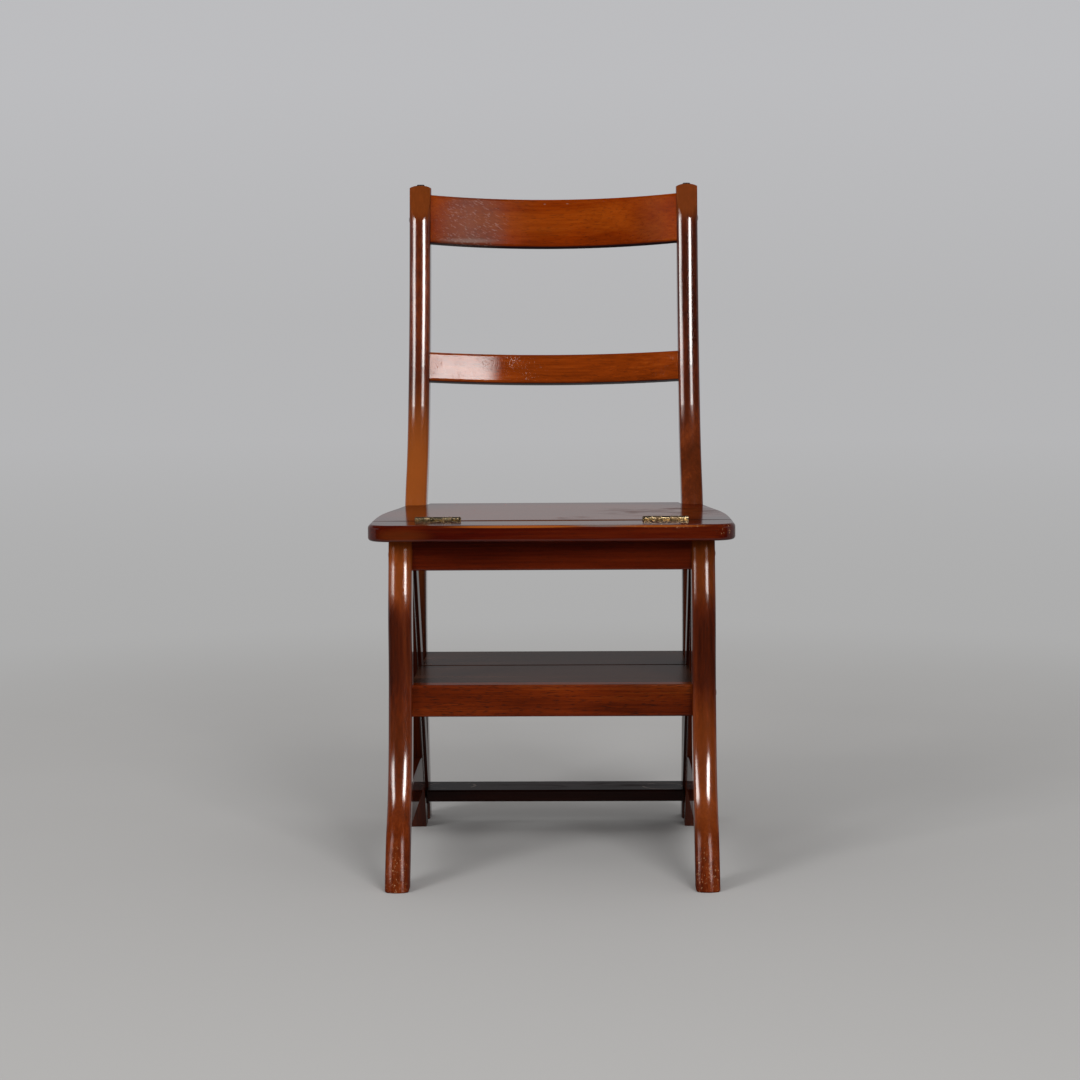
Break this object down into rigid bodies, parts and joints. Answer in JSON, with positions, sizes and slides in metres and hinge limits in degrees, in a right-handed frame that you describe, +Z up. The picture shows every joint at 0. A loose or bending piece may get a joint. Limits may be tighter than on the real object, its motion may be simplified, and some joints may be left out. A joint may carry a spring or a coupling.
{
  "type": "library chair that folds into steps",
  "caption": "Mahogany side chair with curved legs whose rear half flips over a hinge in the seat to make a flight of library steps.",
  "frame": {"origin": "on the floor, under the centre of the whole chair's box", "axes": "+X to the chair's right side as seen from the front, +Y to its back, +Z up; the sitter faces -Y"},
  "size_m": [0.467, 0.6159, 0.902],
  "materials": {
    "frame_wood": "glossy red-brown stained lacquer",
    "rail_wood": "glossy orange-brown stained lacquer",
    "seat_wood": "glossy red-brown lacquer, scuffed",
    "step_wood": "satin red-brown lacquer",
    "brass": "aged brass",
    "glide": "black moulded rubber",
    "screw_steel": "plain steel"
  },
  "bodies": {
    "front_frame": {"front_leg_left": "frame_wood", "front_leg_right": "frame_wood", "seat_front_board": "seat_wood", "front_apron": "frame_wood", "front_stringer_left": "frame_wood", "front_stringer_right": "frame_wood", "side_stretcher_left": "frame_wood", "side_stretcher_right": "frame_wood", "front_step_board": "step_wood", "step_rail": "frame_wood", "hinge_front_leaf_left": "brass", "hinge_front_leaf_right": "brass", "hinge_pin_left": "brass", "hinge_pin_right": "brass", "leg_plugs": "frame_wood", "leg_screws": "screw_steel", "hinge_screws_front": "brass"},
    "rear_frame": {"rear_post_left": "frame_wood", "rear_post_right": "frame_wood", "crest_rail": "rail_wood", "back_rail": "rail_wood", "seat_rear_board": "seat_wood", "rear_apron": "frame_wood", "rear_side_rail_left": "frame_wood", "rear_side_rail_right": "frame_wood", "rear_stringer_left": "frame_wood", "rear_stringer_right": "frame_wood", "rear_step_board": "step_wood", "top_step_board": "step_wood", "hinge_rear_leaf_left": "brass", "hinge_rear_leaf_right": "brass", "post_glide_left": "glide", "post_glide_right": "glide", "post_plugs": "frame_wood", "post_screws": "screw_steel", "hinge_screws_rear": "brass"}
  },
  "joints": [
    {"name": "seat_flip", "type": "hinge", "parent": "front_frame", "child": "rear_frame", "pos_m": [0, -0.15219, 0.451], "axis": [1, 0, 0], "range_deg": [0, 180]}
  ]
}
